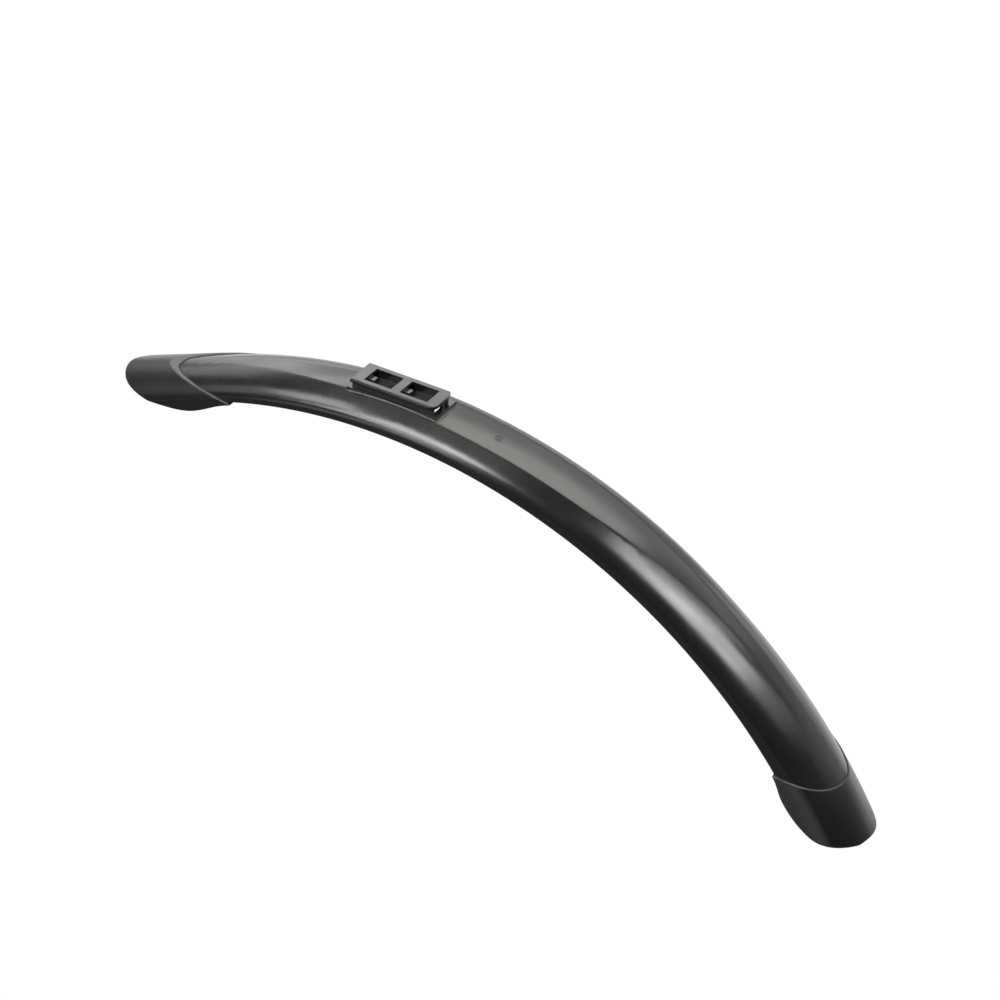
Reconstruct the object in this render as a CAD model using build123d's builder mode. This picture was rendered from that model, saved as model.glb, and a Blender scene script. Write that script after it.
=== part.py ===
from build123d import *
from math import cos, sin
import os

os.makedirs("parts", exist_ok=True)

# Frame, in millimetres: the origin is the middle of the slide rail's top face, X runs back along
# the guard, Y across it and Z up. A place on the guard is given as its distance along the crown
# from the rail, behind it positive, and its depth below the crown, towards the axle.

# Arch of the guard
arc_radius = 395.0
rail_height = 6.6
straight_front = -142.5
axle_z = -rail_height - arc_radius

# Wall of the blade
blade_width = 55.0
blade_wall = 2.0
skirt_depth = 13.0
skirt_gain = 10.0
skirt_straight = 2.0
flare_gain = 3.46
flare_waist = 0.474

# Flat land on the crown and the two creases beside it
land_width = 27.6
land_tip = 4.0
land_middle = 92.5
land_front = 235.0
land_rear = 150.0
crease_drop = 0.36
crease_round = 1.2
crown_ease = 0.3
crease_ease = 0.56
skirt_ease = 0.53

# Soft ends
flap_proud = 1.3
front_raise = 0.9
flap_lining = 0.8
flap_lap = 9.0
lip_round = 0.6

front_seam = -179.3
front_root = -112.0
front_lean = 0.47
front_sweep = 0.38
front_wing = -146.2
front_drop = 5.6
front_full = 0.205
front_tip = -212.4
front_nose = 36.8
front_blunt = 0.4

rear_seam = 363.6
rear_root = 334.5
rear_lean = 0.106
rear_sweep = 0.67
rear_wing = 354.2
rear_drop = 4.5
rear_full = 0.5
rear_tip = 401.6
rear_nose = 17.0
rear_blunt = 0.64

# Slide rail
plate_length = 59.5
plate_width = 22.8
plate_thick = 2.2
plate_step = 0.8
plate_step_drop = 0.6
plate_corner = 5.0
window_width = 14.6
mid_bar = 6.0
end_bar = 7.35
pad_proud = 0.6
pad_margin = 2.05
pad_step = 0.4
rail_wall = 1.5
end_wall = 2.0
post_width = 4.8
post_reach = 4.0
rear_post = 3.4
rear_post_length = 1.8
core_length = 5.0
core_width = 13.0

window_length = (plate_length - mid_bar) / 2 - end_bar
window_shift = (window_length + mid_bar) / 2
window_end = window_shift + window_length / 2
step_side = (plate_width - plate_step) / 2
pad_length = plate_length + 2 * pad_margin
pad_width = plate_width + 2 * pad_step
pad_top = pad_proud - rail_height
slot_height = rail_height - plate_thick - pad_proud
seat_radius = arc_radius - blade_wall / 2
seat_z = axle_z + (seat_radius**2 - (pad_length / 2) ** 2) ** 0.5
wall_length = plate_length - rear_post_length

# Gate mark
gate_at = 69.2
gate_width = 5.0
gate_depth = 0.3
pip_width = 2.2


def turn(s):
    """Angle about the axle for a distance along the crown, which runs straight at the front."""
    return max(s, straight_front) / arc_radius


def side_point(s, depth):
    """Place in the side view for a distance along the crown and a depth below it."""
    radius = arc_radius - depth
    along = min(s - straight_front, 0)
    x = radius * sin(turn(s)) + along * cos(turn(s))
    return (x, axle_z + radius * cos(turn(s)) - along * sin(turn(s)))


def across(s):
    """Plane across the guard, its origin on the crown and its second axis pointing outwards."""
    x, z = side_point(s, 0)
    return Plane(origin=(x, 0, z), x_dir=(0, 1, 0), z_dir=(cos(turn(s)), 0, -sin(turn(s))))


def above(s):
    """Plane lying on the crown, seen from outside, its first axis pointing back."""
    x, z = side_point(s, 0)
    back = Vector(cos(turn(s)), 0, -sin(turn(s)))
    return Plane(origin=(x, 0, z), x_dir=back, z_dir=(-back.Z, 0, back.X))


def lens(s):
    """Share of the land's full width, nothing at its two points."""
    reach = land_front if s < land_middle else land_rear
    return max(0.0, 1.0 - (abs(s - land_middle) / reach) ** 3) ** 1.5


def half_land(s):
    return (land_tip + (land_width - land_tip) * lens(s)) / 2


def half_width(s):
    along = s / arc_radius
    return blade_width / 2 + flare_gain * along * (along - flare_waist)


def low_edge(s):
    """Depth of the blade's skirt."""
    return skirt_depth + skirt_gain * (s / arc_radius) ** 2


def shoulder_ease(s):
    """How far the shoulder runs on straight from the crease before it turns down."""
    return crown_ease + (crease_ease - crown_ease) * lens(s)


def outside(s, proud, low):
    """Outer outline across the guard, raised by proud, with its skirts down to low."""
    land = half_land(s)
    outer = half_width(s) + proud
    curve = low_edge(s) - skirt_straight
    drop = crease_drop * lens(s) * curve
    pull = shoulder_ease(s) * (outer - land)
    slope = Vector(pull, -drop).normalized() * crease_round
    for side in (1, -1):
        shoulder = (side * (land + slope.X), proud + slope.Y)
        Bezier((side * (land - crease_round), proud), (side * land, proud), shoulder)
        Bezier(
            shoulder,
            (side * (land + pull), proud - drop),
            (side * outer, -skirt_ease * curve),
            (side * outer, -curve),
        )
        Line((side * outer, -curve), (side * outer, -low))
    Line((crease_round - land, proud), (land - crease_round, proud))


def wall_section(s):
    """Closed outline of the blade's wall, its lower edges rounded over."""
    land = half_land(s)
    low = low_edge(s)
    outer = half_width(s)
    inside = outer - blade_wall
    curve = low - skirt_straight
    drop = crease_drop * lens(s) * curve
    lip = low + 2 / 3 * blade_wall
    outside(s, 0, low)
    for side in (1, -1):
        Bezier((side * outer, -low), (side * outer, -lip), (side * inside, -lip), (side * inside, -low))
        Line((side * inside, -low), (side * inside, -curve))
        Bezier(
            (side * inside, -curve),
            (side * inside, -blade_wall - skirt_ease * (curve - blade_wall)),
            (side * (land + shoulder_ease(s) * (inside - land)), -blade_wall - drop),
            (side * land, -blade_wall),
        )
    Line((-land, -blade_wall), (land, -blade_wall))


def filled_section(s, proud, drop):
    """Closed outline across a soft end, smooth over its shoulders and filled down to below the skirt."""
    land = half_land(s) - crease_round
    outer = half_width(s) + proud
    low = low_edge(s) + drop
    curve = low_edge(s) - skirt_straight
    fall = crease_drop * lens(s) * curve
    pull = shoulder_ease(s) * (outer - land)
    for side in (1, -1):
        Bezier(
            (side * land, proud),
            (side * (land + pull), proud - fall),
            (side * outer, -skirt_ease * curve),
            (side * outer, -curve),
        )
        Line((side * outer, -curve), (side * outer, -low))
    Line((-land, proud), (land, proud))
    Line((-outer, -low), (outer, -low))


def stations(first, last, count):
    return [first + (last - first) * i / (count - 1) for i in range(count)]


def flap_root_depth(root):
    """Depth of a soft end where its seam reaches the skirt: just under the blade's rounded edge."""
    return low_edge(root) + blade_wall / 2 + flap_lining


def seam_curve(crown, root, lean, sweep, lap):
    """Side view of a soft end's seam, from above the crown to below the skirt; lap moves it outwards."""
    out = lap if crown > 0 else -lap
    low = flap_root_depth(root)
    high = -2 * flap_proud
    span = root - crown
    points = [
        (crown, high),
        (crown + lean * span, high + 0.4 * (low - high)),
        (crown + (lean + sweep) * span, high + 0.6 * (low - high)),
        (root, low),
    ]
    return [side_point(s + out, depth) for s, depth in points]


def seam_edges(edges, crown, root, lean, sweep):
    """Outer edges of a soft end that run along its seam in the side view."""
    seam = Edge.make_bezier(*[(x, 0, z) for x, z in seam_curve(crown, root, lean, sweep, 0)])
    foot = Vector(seam @ 1)
    chosen = []
    for edge in edges:
        places = [edge.position_at(share) for share in (0.1, 0.5, 0.9)]
        flat = [Vector(p.X, 0, p.Z) for p in places]
        on_seam = max(seam.distance_to(p) for p in flat) < 0.001
        on_middle = max(abs(p.Y) for p in places) < 0.01
        on_foot = max((p - foot).length for p in flat) < 0.1
        if on_seam and not on_middle and not on_foot:
            chosen.append(edge)
    return chosen


def tongue_side(crown, root, lean, sweep, beyond):
    """Side view of what is cut off beyond the blade's tongue."""
    curve = seam_curve(crown, root, lean, sweep, flap_lap)
    Bezier(*curve)
    Polyline(
        curve[-1],
        side_point(root, 3 * skirt_depth),
        side_point(beyond, 3 * skirt_depth),
        side_point(beyond, -skirt_depth),
        side_point(crown, -skirt_depth),
        curve[0],
    )


def flap_side(crown, root, lean, sweep, wing, wing_drop, full, tip):
    """Side view of a soft end: seam, wing, rounded lower corner, and the end left long."""
    curve = seam_curve(crown, root, lean, sweep, 0)
    low = flap_root_depth(root)
    deep = low_edge(wing) + wing_drop
    reach = tip - wing
    wing_point = side_point(wing, deep)
    end_point = side_point(wing + 1.03 * reach, 0)
    Bezier(*curve)
    Bezier(
        curve[-1],
        side_point((2 * root + wing) / 3, low),
        side_point((root + 2 * wing) / 3, deep),
        wing_point,
    )
    Bezier(
        wing_point,
        side_point(wing + full * reach, deep),
        side_point(wing + (full + 0.25) * reach, 0.65 * deep),
        end_point,
    )
    Polyline(
        end_point,
        side_point(wing + 1.2 * reach, -skirt_depth),
        side_point(crown, -skirt_depth),
        curve[0],
    )


def flap_plan(tip, full, blunt, root):
    """Half of a soft end's outline seen from outside, across from its middle line, tip at the origin."""
    side = half_width(tip) + 2 * flap_proud
    inwards = root - tip
    Bezier(
        (0, 0),
        (0, blunt * side),
        ((0.65 - 0.9 * blunt) * full, (0.5 + 0.8 * blunt) * side),
        (full, side),
    )
    Polyline((full, side), (inwards, side), (inwards, 0), (0, 0))

with BuildPart() as rail:
    # Plate with two windows, its long edges stepped
    with BuildSketch(Plane.XY) as plate_outline:
        Rectangle(plate_length, plate_width)
        fillet(plate_outline.vertices().group_by(Axis.X)[-1], plate_corner)
        with Locations((-window_shift, 0), (window_shift, 0)):
            Rectangle(window_length, window_width, mode=Mode.SUBTRACT)
    extrude(amount=-plate_thick)
    with BuildSketch(Plane.XY):
        with Locations((0, step_side), (0, -step_side)):
            Rectangle(plate_length, plate_step)
    extrude(amount=-plate_step_drop, mode=Mode.SUBTRACT)
    # Pad under the plate, flat on top and seated in the land
    with BuildSketch(Plane.XZ):
        with BuildLine():
            pad_front = (-pad_length / 2, pad_top)
            pad_rear = (pad_length / 2, pad_top)
            seat_front = (-pad_length / 2, seat_z)
            seat_rear = (pad_length / 2, seat_z)
            Polyline(seat_front, pad_front, pad_rear, seat_rear)
            RadiusArc(seat_front, seat_rear, seat_radius)
        make_face()
    extrude(amount=pad_width / 2, both=True)
    # Long walls, end wall and middle posts between pad and plate
    with BuildSketch(Plane.XY.offset(-plate_thick)):
        for side in (1, -1):
            with Locations((-rear_post_length / 2, side * (window_width + rail_wall) / 2)):
                Rectangle(wall_length, rail_wall)
        with Locations(((end_wall - plate_length) / 2, 0)):
            Rectangle(end_wall, window_width + 2 * rail_wall)
        with Locations(((post_reach - end_bar) / 2 - window_end, 0)):
            Rectangle(end_bar + post_reach, post_width)
        with Locations((post_reach / 2, 0)):
            Rectangle(mid_bar + post_reach, post_width)
        with Locations(((plate_length - rear_post_length) / 2, 0)):
            Rectangle(rear_post_length, rear_post)
    extrude(amount=-slot_height)

with BuildPart() as blade:
    for s in stations(front_seam - 2 * flap_lap, rear_seam + 2 * flap_lap, 25):
        with BuildSketch(across(s)):
            with BuildLine():
                wall_section(s)
            make_face()
    loft()
    with BuildSketch(Plane.XZ):
        with BuildLine():
            tongue_side(front_seam, front_root, front_lean, front_sweep, front_tip)
        make_face()
        with BuildLine():
            tongue_side(rear_seam, rear_root, rear_lean, rear_sweep, rear_tip)
        make_face()
    extrude(amount=blade_width, both=True, mode=Mode.SUBTRACT)
    add(rail.part)
    # Cored hole through pad and land, under the rear bar
    with BuildSketch(Plane.XY.offset(-plate_thick)):
        with Locations((window_end + core_length / 2, 0)):
            Rectangle(core_length, core_width)
    extrude(amount=-(rail_height + skirt_depth / 2), mode=Mode.SUBTRACT)
    # Gate mark: a shallow dish with a pip in it
    with BuildSketch(above(gate_at)):
        Circle(gate_width / 2)
        Circle(pip_width / 2, mode=Mode.SUBTRACT)
    extrude(amount=-gate_depth, mode=Mode.SUBTRACT)

with BuildPart() as front_flap:
    for s in stations(front_tip - flap_lap, front_root + flap_lap, 6):
        with BuildSketch(across(s)):
            with BuildLine():
                filled_section(s, flap_proud + front_raise, 4 * front_drop)
            make_face()
    loft()
    with BuildSketch(Plane.XZ):
        with BuildLine():
            flap_side(
                front_seam, front_root, front_lean, front_sweep, front_wing, front_drop, front_full, front_tip
            )
        make_face()
    extrude(amount=blade_width, both=True, mode=Mode.INTERSECT)
    with BuildSketch(above(front_tip)):
        with BuildLine():
            flap_plan(front_tip, front_nose, front_blunt, front_root + flap_lap)
        make_face()
        mirror(about=Plane.XZ)
    extrude(amount=blade_width, both=True, mode=Mode.INTERSECT)
    fillet(seam_edges(front_flap.edges(), front_seam, front_root, front_lean, front_sweep), lip_round)
    for s in stations(front_tip - 2 * flap_lap, front_root + 2 * flap_lap, 6):
        with BuildSketch(across(s)):
            with BuildLine():
                filled_section(s, -blade_wall - flap_lining, 6 * front_drop)
            make_face()
    loft(mode=Mode.SUBTRACT)
    add(blade.part, mode=Mode.SUBTRACT)

with BuildPart() as rear_flap:
    for s in stations(rear_tip + flap_lap, rear_root - flap_lap, 6):
        with BuildSketch(across(s)):
            with BuildLine():
                filled_section(s, flap_proud, 4 * rear_drop)
            make_face()
    loft()
    with BuildSketch(Plane.XZ):
        with BuildLine():
            flap_side(rear_seam, rear_root, rear_lean, rear_sweep, rear_wing, rear_drop, rear_full, rear_tip)
        make_face()
    extrude(amount=blade_width, both=True, mode=Mode.INTERSECT)
    with BuildSketch(above(rear_tip)):
        with BuildLine():
            flap_plan(rear_tip, -rear_nose, rear_blunt, rear_root - flap_lap)
        make_face()
        mirror(about=Plane.XZ)
    extrude(amount=blade_width, both=True, mode=Mode.INTERSECT)
    fillet(seam_edges(rear_flap.edges(), rear_seam, rear_root, rear_lean, rear_sweep), lip_round)
    for s in stations(rear_tip + 2 * flap_lap, rear_root - 2 * flap_lap, 6):
        with BuildSketch(across(s)):
            with BuildLine():
                filled_section(s, -blade_wall - flap_lining, 6 * rear_drop)
            make_face()
    loft(mode=Mode.SUBTRACT)
    add(blade.part, mode=Mode.SUBTRACT)

blade.part.label = "blade"
export_step(blade.part, "parts/blade.step")
front_flap.part.label = "front_flap"
export_step(front_flap.part, "parts/front_flap.step")
rear_flap.part.label = "rear_flap"
export_step(rear_flap.part, "parts/rear_flap.step")
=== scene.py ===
from math import cos, pi, radians, sin, tan

import bpy
import numpy as np
from mathutils import Matrix, Vector


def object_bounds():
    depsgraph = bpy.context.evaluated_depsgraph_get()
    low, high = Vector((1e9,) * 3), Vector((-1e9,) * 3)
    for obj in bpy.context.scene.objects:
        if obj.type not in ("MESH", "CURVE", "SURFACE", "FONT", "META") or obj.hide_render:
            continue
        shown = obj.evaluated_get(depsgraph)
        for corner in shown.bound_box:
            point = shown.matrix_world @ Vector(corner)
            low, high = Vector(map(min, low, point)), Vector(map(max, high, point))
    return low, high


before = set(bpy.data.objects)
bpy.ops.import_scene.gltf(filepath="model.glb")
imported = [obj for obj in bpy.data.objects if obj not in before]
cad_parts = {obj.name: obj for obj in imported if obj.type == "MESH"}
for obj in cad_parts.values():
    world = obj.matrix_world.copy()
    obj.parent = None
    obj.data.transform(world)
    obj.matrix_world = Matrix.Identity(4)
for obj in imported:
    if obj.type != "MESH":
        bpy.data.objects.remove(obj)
cad_low, cad_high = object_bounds()
scene = bpy.context.scene
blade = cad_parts["blade"]
front_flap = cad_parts["front_flap"]
rear_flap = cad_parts["rear_flap"]

# Camera of the photograph, in metres and degrees in the part's frame
camera_at = Vector((0.63918, -1.04770, 0.77257))
camera_yaw = radians(28.434)
camera_pitch = radians(34.819)
camera_roll = radians(-3.376)
camera_lens = 86.4
camera_sensor = 36.0
camera_clip = (0.05, 20.0)

# Outside of the blade, in millimetres, with the part's own names and values
mm = 0.001
arc_radius = 395.0
rail_height = 6.6
straight_front = -142.5
axle_z = -rail_height - arc_radius
blade_width = 55.0
skirt_depth = 13.0
skirt_gain = 10.0
skirt_straight = 2.0
flare_gain = 3.46
flare_waist = 0.474
land_width = 27.6
land_tip = 4.0
land_middle = 92.5
land_front = 235.0
land_rear = 150.0
crease_drop = 0.36
crease_round = 1.2
crown_ease = 0.3
crease_ease = 0.56
skirt_ease = 0.53

# Steps for finding directions on the blade's outside: t across it, and s along it in millimetres
t_step = 0.002
s_step = 0.5

# Rows in which a place on the outline is searched, how near to it a point of the mesh has to lie, in
# millimetres, and the least cosine between its direction and the face's
outline_rows = 241
outline_gap = 0.15
least_facing = 0.75

# Tilt of the land at its edges, which makes it look slightly crowned
land_crown = radians(5.0)

# Rounds in the shading, in millimetres: the rail's edges, the creases and the flaps' lips
rail_edge = 0.4
crease_soft = 1.8
flap_edge = 1.2

# The creases' round grows by a factor between two places along the guard, and gives way to the rail's
# between two heights above the crown
crease_widening = 1.9
crease_widens = (100.0, 170.0)
rail_rise = (0.2, 0.5)

# Cosines of the bend at which a flap's lip starts to turn dull and is dull, and its added roughness
lip_bend = (0.997, 0.93)
lip_dull = 0.4

# Middle of a noise pattern, which is spread over a whole range, and the swing of the gloss
noise_middle = (0.3, 0.7)
gloss_swing = 0.025

# Sockets of a Mix node that hold its two colours and the result
mix_first = 6
mix_second = 7
mix_result = 2

# Painted light on the rear flap's side wings, which are painted paler, in millimetres: distances from the
# middle plane where it starts and is full, and the place along the guard behind which the wings lie
wing_start = 24.5
wing_full = 28.5
wing_behind = 100.0

# Lamps: the middle of the guard, which they point at, their distance in metres and common level
middle = Vector((0.06, 0.0, -0.06))
lamp_distance = 1.4
lamp_level = 0.8

# Floor, in metres, and how bright mirrors see it: it brightens across the guard and fades far behind it
floor_half = 6.0
floor_gap = 0.004
floor_rise = (-0.03, 0.07)
floor_fade = (0.5, 1.1)
floor_near = 0.13
floor_far = 0.4

# How bright mirrors see the room in front and behind, by the share of a direction that points to the back
room_rise = (0.15, 0.7)
room_front = 0.03
room_back = 0.45


def blade_outline(s, t):
    """Outer outline across the blade, in millimetres, at a distance s along the crown.

    t runs from 0 on the middle plane to 1 at the land's edge, 2 below the crease, 3 below the shoulder
    and 4 at the skirt's lower edge."""
    turn = s / arc_radius
    reach = np.where(s < land_middle, land_front, land_rear)
    lens = np.clip(1.0 - (np.abs(s - land_middle) / reach) ** 3, 0.0, None) ** 1.5
    land = (land_tip + (land_width - land_tip) * lens) / 2
    outer = blade_width / 2 + flare_gain * turn * (turn - flare_waist)
    low = skirt_depth + skirt_gain * turn**2
    curve = low - skirt_straight
    drop = crease_drop * lens * curve
    pull = (crown_ease + (crease_ease - crown_ease) * lens) * (outer - land)
    size = np.hypot(pull, drop)
    start = land + crease_round * pull / size
    fall = -crease_round * drop / size
    a, b, c, d = [np.clip(t - k, 0.0, 1.0) for k in range(4)]
    land_y = a * (land - crease_round)
    crease_y = (land - crease_round) * (1 - b) ** 2 + land * 2 * b * (1 - b) + start * b**2
    crease_z = fall * b**2
    steps = ((1 - c) ** 3, 3 * c * (1 - c) ** 2, 3 * c**2 * (1 - c), c**3)
    shoulder_y = start * steps[0] + (land + pull) * steps[1] + outer * (steps[2] + steps[3])
    shoulder_z = fall * steps[0] - drop * steps[1] - skirt_ease * curve * steps[2] - curve * steps[3]
    skirt_z = shoulder_z - skirt_straight * d
    y = np.where(t < 1.0, land_y, np.where(t < 2.0, crease_y, shoulder_y))
    z = np.where(t < 1.0, 0.0, np.where(t < 2.0, crease_z, skirt_z))
    return y, z


def blade_point(s, t):
    """Place on the blade's outside; the crown runs straight at the very front."""
    y, z = blade_outline(s, t)
    turn = np.maximum(s, straight_front) / arc_radius
    along = np.minimum(s - straight_front, 0.0)
    radius = arc_radius + z
    x = radius * np.sin(turn) + along * np.cos(turn)
    return np.stack([x, y, axle_z + radius * np.cos(turn) - along * np.sin(turn)], -1)


def place_on_blade(spots):
    """Distance along the crown, place across the outline and gap to it, for points in millimetres."""
    x, y, z = spots[:, 0], np.abs(spots[:, 1]), spots[:, 2] - axle_z
    bend = straight_front / arc_radius
    along = x * cos(bend) - z * sin(bend)
    ahead = along < 0.0
    s = np.where(ahead, along + straight_front, arc_radius * np.arctan2(x, z))
    up = np.where(ahead, x * sin(bend) + z * cos(bend), np.hypot(x, z)) - arc_radius
    rows = np.linspace(0.0, 4.0, outline_rows)
    row_y, row_z = blade_outline(s[:, None], rows[None, :])
    t = rows[np.argmin((row_y - y[:, None]) ** 2 + (row_z - up[:, None]) ** 2, axis=1)]
    for _ in range(4):
        at_y, at_z = blade_outline(s, t)
        next_y, next_z = blade_outline(s, t + t_step)
        slope_y, slope_z = (next_y - at_y) / t_step, (next_z - at_z) / t_step
        miss = (y - at_y) * slope_y + (up - at_z) * slope_z
        t = np.clip(t + miss / (slope_y**2 + slope_z**2 + 1e-9), 0.0, 4.0)
    at_y, at_z = blade_outline(s, t)
    return s, t, np.hypot(at_y - y, at_z - up)


def unit(vectors):
    return vectors / (np.linalg.norm(vectors, axis=1, keepdims=True) + 1e-12)


def true_directions(piece):
    """Gives the blade's outside the directions of its curved surface, so that reflections run evenly."""
    mesh = piece.data
    spots = np.array([v.co for v in mesh.vertices]) / mm
    s, t, gap = place_on_blade(spots)
    across = blade_point(s, t + t_step) - blade_point(s, t - t_step)
    back = blade_point(s + s_step, t) - blade_point(s - s_step, t)
    out = unit(np.cross(back, across))
    on_land = np.clip(2.0 - t, 0.0, 1.0)
    out[:, 1] += tan(land_crown) * np.abs(spots[:, 1]) / (land_width / 2) * on_land
    out = unit(out)
    out[:, 1] *= np.sign(spots[:, 1])
    directions = np.array([n.vector for n in mesh.corner_normals])
    corner = np.array([c.vertex_index for c in mesh.loops])
    sides = [p.loop_total for p in mesh.polygons]
    face = np.repeat(np.array([p.normal for p in mesh.polygons]), sides, axis=0)
    facing = (out[corner] * face).sum(1)
    outside = (gap[corner] < outline_gap) & (facing > least_facing)
    directions[outside] = out[corner][outside]
    mesh.normals_split_custom_set([tuple(d) for d in directions])


def node(tree, kind, **inputs):
    """Adds a shader node and sets the sockets and settings named."""
    made = tree.nodes.new(kind)
    for name, value in inputs.items():
        key = name.replace("_", " ")
        if key in made.inputs:
            made.inputs[key].default_value = value
        else:
            setattr(made, name, value)
    return made


def join(tree, a, out, b, into):
    tree.links.new(a.outputs[out], b.inputs[into])


def ramp(tree, source, socket, start, end, low=0.0, high=1.0, kind="SMOOTHSTEP"):
    """Maps a value from the range start to end onto the range low to high."""
    made = node(tree, "ShaderNodeMapRange", interpolation_type=kind)
    made.inputs["From Min"].default_value = start
    made.inputs["From Max"].default_value = end
    made.inputs["To Min"].default_value = low
    made.inputs["To Max"].default_value = high
    join(tree, source, socket, made, "Value")
    return made


def combine(tree, operation, a, a_out, b, b_out):
    """Takes two values together by a plain operation."""
    made = node(tree, "ShaderNodeMath", operation=operation)
    join(tree, a, a_out, made, 0)
    join(tree, b, b_out, made, 1)
    return made


def axes(tree, place, socket="Object"):
    """Splits a place into its three axes."""
    made = node(tree, "ShaderNodeSeparateXYZ")
    join(tree, place, socket, made, "Vector")
    return made


def noise(tree, place, scale, detail, rough):
    made = node(tree, "ShaderNodeTexNoise", Scale=scale, Detail=detail, Roughness=rough)
    join(tree, place, "Object", made, "Vector")
    return made


def slow_tones(tree, place, dark, pale):
    """Mixes two tones in slow clouds."""
    cloud = noise(tree, place, scale=18.0, detail=3.0, rough=0.5)
    made = node(tree, "ShaderNodeMix", data_type="RGBA")
    made.inputs[mix_first].default_value = dark
    made.inputs[mix_second].default_value = pale
    join(tree, ramp(tree, cloud, "Fac", *noise_middle), "Result", made, "Factor")
    return made


def paint_light_on_wings(tree, place, tone, painted_light):
    """Paints light on the sides of the rear flap: a paler tone beyond a distance from the middle plane."""
    split = axes(tree, place)
    side = node(tree, "ShaderNodeMath", operation="ABSOLUTE")
    join(tree, split, "Y", side, 0)
    wing = ramp(tree, side, "Value", wing_start * mm, wing_full * mm)
    rear = node(tree, "ShaderNodeMath", operation="GREATER_THAN")
    join(tree, split, "X", rear, 0)
    rear.inputs[1].default_value = wing_behind * mm
    share = combine(tree, "MULTIPLY", wing, "Result", rear, "Value")
    made = node(tree, "ShaderNodeMix", data_type="RGBA")
    made.inputs[mix_second].default_value = painted_light
    join(tree, tone, mix_result, made, mix_first)
    join(tree, share, "Value", made, "Factor")
    return made


def dull_lips(tree, gloss, soft, extra):
    """Adds roughness where the softened surface leaves the real one, along a lip."""
    real = node(tree, "ShaderNodeNewGeometry")
    bend = node(tree, "ShaderNodeVectorMath", operation="DOT_PRODUCT")
    join(tree, soft, "Normal", bend, 0)
    join(tree, real, "Normal", bend, 1)
    dull = ramp(tree, bend, "Value", *lip_bend, high=extra)
    return combine(tree, "ADD", gloss, "Result", dull, "Result")


def crease_round_off(tree, place, crease, edge):
    """Radius of the softening: crease on the blade, wider towards the rear, and edge up on the rail."""
    flat = node(tree, "ShaderNodeVectorMath", operation="MULTIPLY_ADD")
    flat.inputs[1].default_value = (1.0, 0.0, 1.0)
    flat.inputs[2].default_value = (0.0, 0.0, -axle_z * mm)
    join(tree, place, "Object", flat, 0)
    reach = node(tree, "ShaderNodeVectorMath", operation="LENGTH")
    join(tree, flat, "Vector", reach, 0)
    start, end = [(arc_radius + rise) * mm for rise in rail_rise]
    made = ramp(tree, reach, "Value", start, end, crease, edge, kind="LINEAR")
    rear_start, rear_end = [x * mm for x in crease_widens]
    widen = ramp(tree, axes(tree, place), "X", rear_start, rear_end, crease, crease_widening * crease)
    join(tree, widen, "Result", made, "To Min")
    return made


def satin(name, dark, pale, rough, grain, bump, edge, painted_light=None, crease=None, lip=None):
    """Black moulded surface: a fine moulded grain, slow changes of gloss and tone, and softened edges."""
    material = bpy.data.materials.new(name)
    material.use_nodes = True
    tree = material.node_tree
    shader = tree.nodes["Principled BSDF"]
    shader.inputs["Specular IOR Level"].default_value = 1.0
    place = node(tree, "ShaderNodeTexCoord")
    tone = slow_tones(tree, place, dark, pale)
    # Painted light: a paler tone painted on the rear flap's side wings
    if painted_light:
        tone = paint_light_on_wings(tree, place, tone, painted_light)
    join(tree, tone, mix_result, shader, "Base Color")
    soft = node(tree, "ShaderNodeBevel", samples=8, Radius=edge)
    if crease:
        join(tree, crease_round_off(tree, place, crease, edge), "Result", soft, "Radius")
    haze = noise(tree, place, scale=60.0, detail=4.0, rough=0.6)
    gloss = ramp(tree, haze, "Fac", *noise_middle, rough - gloss_swing, rough + gloss_swing)
    if lip:
        join(tree, dull_lips(tree, gloss, soft, lip), "Value", shader, "Roughness")
    else:
        join(tree, gloss, "Result", shader, "Roughness")
    fine = noise(tree, place, scale=grain, detail=2.0, rough=0.6)
    relief = node(tree, "ShaderNodeBump", Strength=bump, Distance=0.0001)
    join(tree, fine, "Fac", relief, "Height")
    join(tree, soft, "Normal", relief, "Normal")
    join(tree, relief, "Normal", shader, "Normal")
    return material


def dress(piece, material):
    piece.data.materials.clear()
    piece.data.materials.append(material)


def softbox(name, azimuth, elevation, wide, high, radiance, tint):
    """Area lamp seen from the guard at an azimuth from the near side towards the rear, and an elevation."""
    a, e = radians(azimuth), radians(elevation)
    way = Vector((sin(a) * cos(e), -cos(a) * cos(e), sin(e)))
    data = bpy.data.lights.new(name, "AREA")
    data.shape = "RECTANGLE"
    data.size = 2 * lamp_distance * tan(radians(wide / 2))
    data.size_y = 2 * lamp_distance * tan(radians(high / 2))
    data.energy = lamp_level * radiance * pi * data.size * data.size_y
    data.color = tint
    lamp = bpy.data.objects.new(name, data)
    lamp.location = middle + way * lamp_distance
    lamp.rotation_mode = "QUATERNION"
    lamp.rotation_quaternion = way.to_track_quat("Z", "Y")
    lamp.visible_camera = False
    scene.collection.objects.link(lamp)


# Hard plastic of the blade and soft rubber of the flaps
black = (0.014, 0.014, 0.014, 1.0)
soot = (0.019, 0.019, 0.018, 1.0)
tar = (0.0075, 0.007, 0.0075, 1.0)
coal = (0.011, 0.0105, 0.011, 1.0)
# Painted light: the paler tone painted on the rear flap's side wings
painted_wing_light = (0.068, 0.062, 0.070, 1.0)
blade_plastic = satin(
    "blade_plastic", black, soot, rough=0.21, grain=2600.0, bump=0.03,
    edge=rail_edge * mm, crease=crease_soft * mm,
)
flap_rubber = satin(
    "flap_rubber", tar, coal, rough=0.31, grain=2000.0, bump=0.05,
    edge=flap_edge * mm, painted_light=painted_wing_light, lip=lip_dull,
)
true_directions(blade)
dress(blade, blade_plastic)
dress(front_flap, flap_rubber)
dress(rear_flap, flap_rubber)

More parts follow.
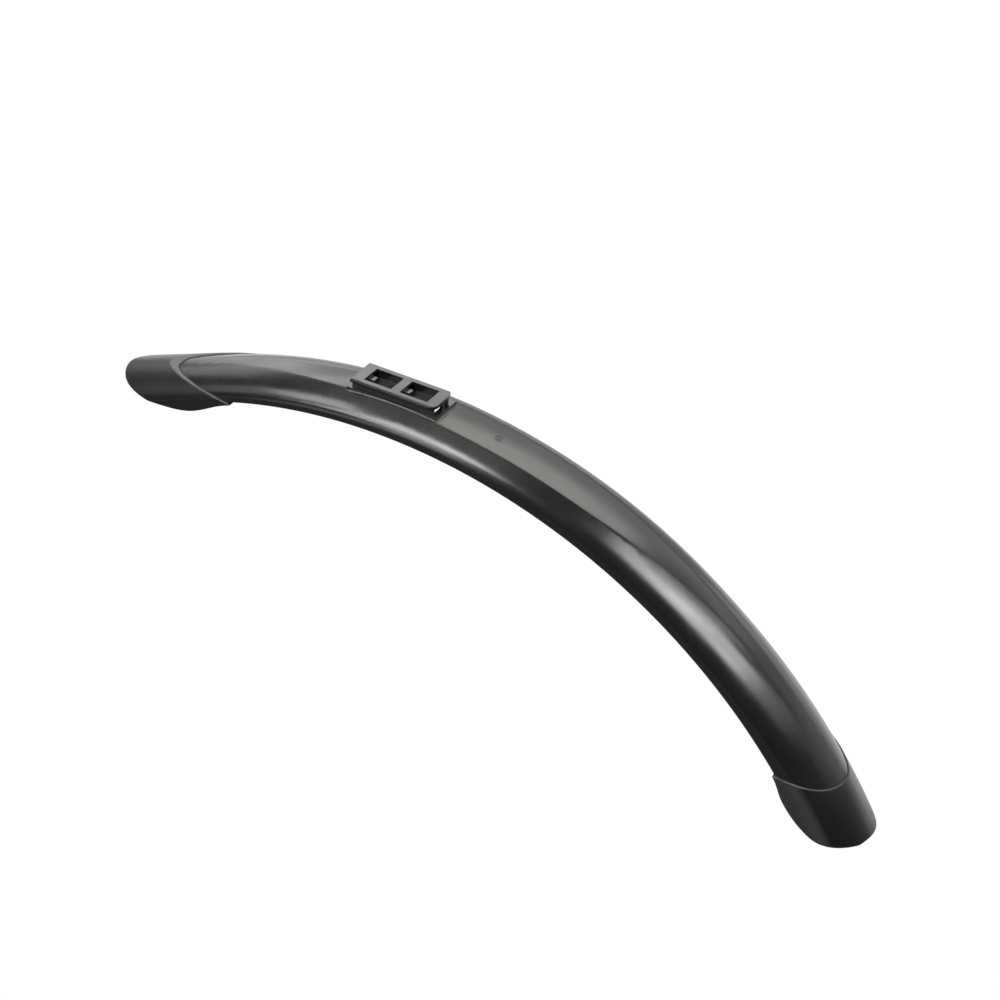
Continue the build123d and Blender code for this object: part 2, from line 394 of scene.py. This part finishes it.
# Camera
level_ahead = Vector((-sin(camera_yaw), cos(camera_yaw), 0.0))
forward = level_ahead * cos(camera_pitch) - Vector((0.0, 0.0, sin(camera_pitch)))
level_right = Vector((cos(camera_yaw), sin(camera_yaw), 0.0))
level_down = forward.cross(level_right)
right = level_right * cos(camera_roll) + level_down * sin(camera_roll)
down = level_down * cos(camera_roll) - level_right * sin(camera_roll)
turned = Matrix((right, -down, -forward)).transposed().to_4x4()
lens_data = bpy.data.cameras.new("camera")
lens_data.sensor_width = camera_sensor
lens_data.lens = camera_lens
lens_data.clip_start, lens_data.clip_end = camera_clip
camera = bpy.data.objects.new("camera", lens_data)
camera.matrix_world = Matrix.Translation(camera_at) @ turned
scene.collection.objects.link(camera)
scene.camera = camera

# Floor: white to the camera; mirrors see it dim on the near side, white behind the guard and dimmer far away
floor_z = cad_low.z - floor_gap
floor_corners = [(x * floor_half, y * floor_half, floor_z) for x, y in ((-1, -1), (1, -1), (1, 1), (-1, 1))]
floor_mesh = bpy.data.meshes.new("floor")
floor_mesh.from_pydata(floor_corners, [], [(0, 1, 2, 3)])
floor = bpy.data.objects.new("floor", floor_mesh)
scene.collection.objects.link(floor)
paper = bpy.data.materials.new("paper")
paper.use_nodes = True
tree = paper.node_tree
glow = node(tree, "ShaderNodeEmission")
rays = node(tree, "ShaderNodeLightPath")
split = axes(tree, node(tree, "ShaderNodeTexCoord"))
depth = ramp(tree, split, "Y", *floor_rise, low=floor_near)
fade = ramp(tree, split, "Y", *floor_fade, low=1.0, high=floor_far)
level = combine(tree, "MULTIPLY", depth, "Result", fade, "Result")
seen = combine(tree, "MAXIMUM", level, "Value", rays, "Is Camera Ray")
join(tree, seen, "Value", glow, "Strength")
join(tree, glow, "Emission", tree.nodes["Material Output"], "Surface")
floor_mesh.materials.append(paper)

# World: white to the camera; mirrors see a pale backdrop behind the guard and a dark room in front
world = bpy.data.worlds.new("studio")
scene.world = world
world.use_nodes = True
tree = world.node_tree
back = tree.nodes["Background"]
back.inputs["Color"].default_value = (1.0, 1.0, 1.0, 1.0)
rays = node(tree, "ShaderNodeLightPath")
split = axes(tree, node(tree, "ShaderNodeTexCoord"), "Generated")
depth = ramp(tree, split, "Y", *room_rise, low=room_front, high=room_back)
room = combine(tree, "MAXIMUM", depth, "Result", rays, "Is Camera Ray")
join(tree, room, "Value", back, "Strength")

# Lamps, as angles seen from the guard: azimuth, elevation, width and height, then radiance and tint
neutral = (1.0, 1.0, 1.0)
cool = (0.97, 0.96, 1.0)
warm = (1.0, 0.99, 0.93)

# Long highlight on the near shoulder, in front of the middle
softbox("left_box", -39, 60, 26, 18, 7.6, cool)
softbox("left_far_box", -79, 48, 18, 16, 4.6, cool)
softbox("left_near_box", -26, 40, 14, 14, 4.4, cool)
softbox("left_low_box", -46, 42, 16, 16, 5.2, cool)
softbox("left_low_panel", -80, 32, 22, 16, 0.8, cool)
softbox("left_top_strip", -30, 69, 14, 8, 6.0, cool)
softbox("left_strip", -24, 21, 12, 16, 2.6, cool)
softbox("left_low_strip", -34, 6, 14, 24, 1.0, cool)
softbox("overhead", -90, 70, 56, 44, 0.4, neutral)

# Wide highlight on the shoulder behind the middle, fading into the crown
softbox("right_box", 86, 49, 10, 13, 9.5, neutral)
softbox("right_strip", 73, 48, 8, 13, 7.5, neutral)
softbox("right_far_box", 100, 47, 10, 14, 5.2, neutral)
softbox("right_top_box", 82, 60, 16, 9, 6.5, neutral)
softbox("right_low_box", 88, 36.5, 18, 10, 5.8, neutral)
softbox("right_low_strip", 75, 36, 7, 10, 6.0, neutral)
softbox("right_fade_box", 116, 45, 12, 24, 1.7, neutral)
softbox("right_panel", 90, 26, 28, 10, 0.9, neutral)
softbox("rear_panel", 105, 13, 30, 12, 0.35, neutral)

# Even light on the land, the rail and the front of the crown
softbox("far_box", -178, 49, 42, 14, 2.6, warm)
softbox("far_top_box", -178, 63, 34, 14, 2.6, warm)
softbox("far_panel", 178, 33, 46, 14, 0.55, warm)
softbox("far_right_panel", 148, 25, 20, 12, 0.6, warm)
softbox("far_low_panel", 150, 2, 34, 14, 0.7, neutral)
softbox("rail_panel", -148, 32, 10, 9, 2.8, neutral)
softbox("front_panel", -135, 30, 14, 9, 2.6, neutral)
softbox("front_wide_panel", -121, 22, 26, 16, 1.1, neutral)
softbox("front_low_panel", -139, 9, 24, 22, 1.1, neutral)

scene.view_settings.view_transform = "Standard"
